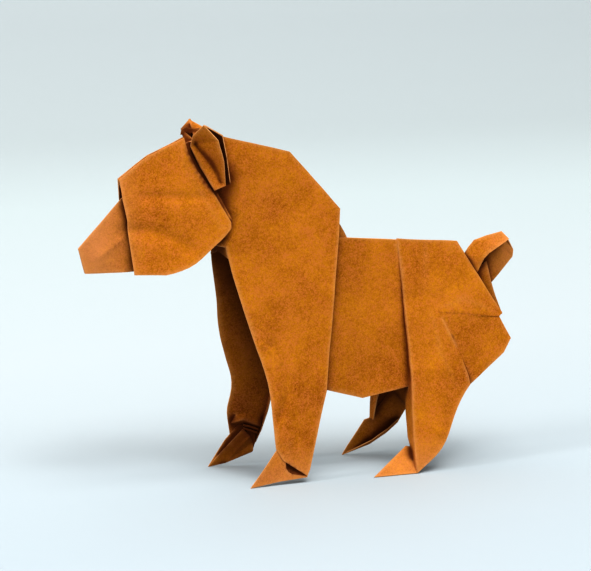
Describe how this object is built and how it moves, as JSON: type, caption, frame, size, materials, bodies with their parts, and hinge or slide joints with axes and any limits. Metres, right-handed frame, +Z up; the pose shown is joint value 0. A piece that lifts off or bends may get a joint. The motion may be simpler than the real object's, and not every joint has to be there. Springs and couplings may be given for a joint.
{
  "type": "origami animal figure",
  "caption": "Walking bear folded from one sheet of mottled brown paper, with a long snout, cupped ears, a raised tail and tapered feet.",
  "frame": {"origin": "on the plane the feet stand on, below the middle of the length", "axes": "+Z up, the head towards -X, the left side towards -Y"},
  "size_m": [0.1208, 0.0258, 0.0934],
  "materials": {
    "paper": "uncoated, mottled orange brown with fine fibres"
  },
  "bodies": {
    "root": {"folded_bear": "paper"}
  },
  "joints": []
}
